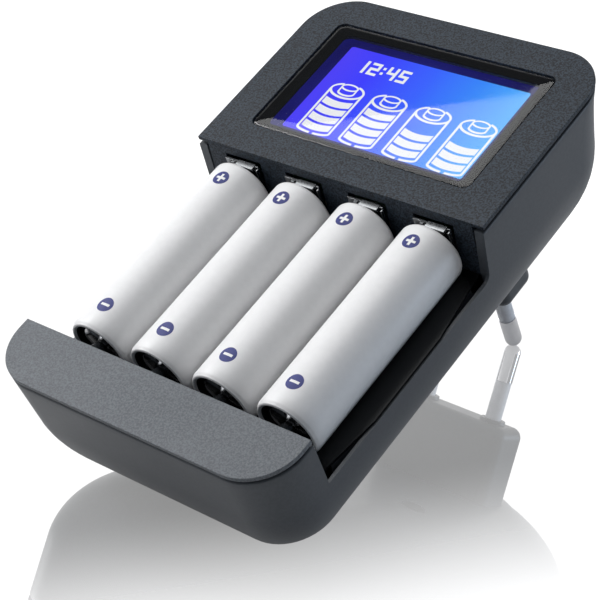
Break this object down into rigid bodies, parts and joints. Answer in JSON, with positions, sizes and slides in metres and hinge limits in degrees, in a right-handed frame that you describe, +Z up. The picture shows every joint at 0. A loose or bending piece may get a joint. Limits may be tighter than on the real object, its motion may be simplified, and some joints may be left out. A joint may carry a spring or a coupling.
{
  "type": "aa battery charger",
  "caption": "Plug-in charger for round battery cells: open bay with contacts, lit display in a raised head, rounded lower case and a sleeved two-pin plug on a block.",
  "frame": {"origin": "centre of the bounding box on the ground the charger rests on", "axes": "+Y along the ground from the front end to the display end, +X to the right seen from the front, +Z up"},
  "size_m": [0.074, 0.119, 0.0774],
  "materials": {
    "case": "satin dark grey",
    "cover": "fine grain dark grey",
    "tray": "glossy black",
    "lens": "clear",
    "mask": "black print",
    "lcd": "lit blue",
    "diffuser": "milky",
    "board": "solder mask",
    "chip": "moulded",
    "screw": "zinc plated",
    "ferrite": "sintered",
    "coil": "taped",
    "pin_metal": "nickel plated",
    "sleeve": "moulded",
    "lead": "bare strip",
    "contact": "nickel plated",
    "cell_sleeve": "white sleeve"
  },
  "bodies": {
    "charger": {"lower_shell": "case", "head_cover": "cover", "front_cover": "cover", "battery_tray": "tray", "display_lens": "lens", "display_mask": "mask", "lcd_panel": "lcd", "backlight": "diffuser", "control_board": "board", "control_chip": "chip", "board_screws": "screw", "power_board": "board", "transformer_core": "ferrite", "transformer_coil": "coil", "mains_capacitor": "chip", "output_capacitor": "chip", "plug_block": "case", "plug_pin_left": "pin_metal", "plug_pin_right": "pin_metal", "pin_sleeve_left": "sleeve", "pin_sleeve_right": "sleeve", "contact_leads": "lead", "case_screws": "screw", "plus_contact_1": "contact", "cell_1": "cell_sleeve", "plus_contact_2": "contact", "cell_2": "cell_sleeve", "plus_contact_3": "contact", "cell_3": "cell_sleeve", "plus_contact_4": "contact", "cell_4": "cell_sleeve"},
    "contact_1": {"minus_contact_1": "contact"},
    "contact_2": {"minus_contact_2": "contact"},
    "contact_3": {"minus_contact_3": "contact"},
    "contact_4": {"minus_contact_4": "contact"}
  },
  "joints": [
    {"name": "contact_press_1", "type": "slide", "parent": "charger", "child": "contact_1", "axis": [0, -0.9077, -0.4196], "range_m": [0, 0.0012], "stiffness_N_per_m": 800, "springref_m": -0.0015},
    {"name": "contact_press_2", "type": "slide", "parent": "charger", "child": "contact_2", "axis": [0, -0.9077, -0.4196], "range_m": [0, 0.0012], "stiffness_N_per_m": 800, "springref_m": -0.0015},
    {"name": "contact_press_3", "type": "slide", "parent": "charger", "child": "contact_3", "axis": [0, -0.9077, -0.4196], "range_m": [0, 0.0012], "stiffness_N_per_m": 800, "springref_m": -0.0015},
    {"name": "contact_press_4", "type": "slide", "parent": "charger", "child": "contact_4", "axis": [0, -0.9077, -0.4196], "range_m": [0, 0.0012], "stiffness_N_per_m": 800, "springref_m": -0.0015}
  ]
}
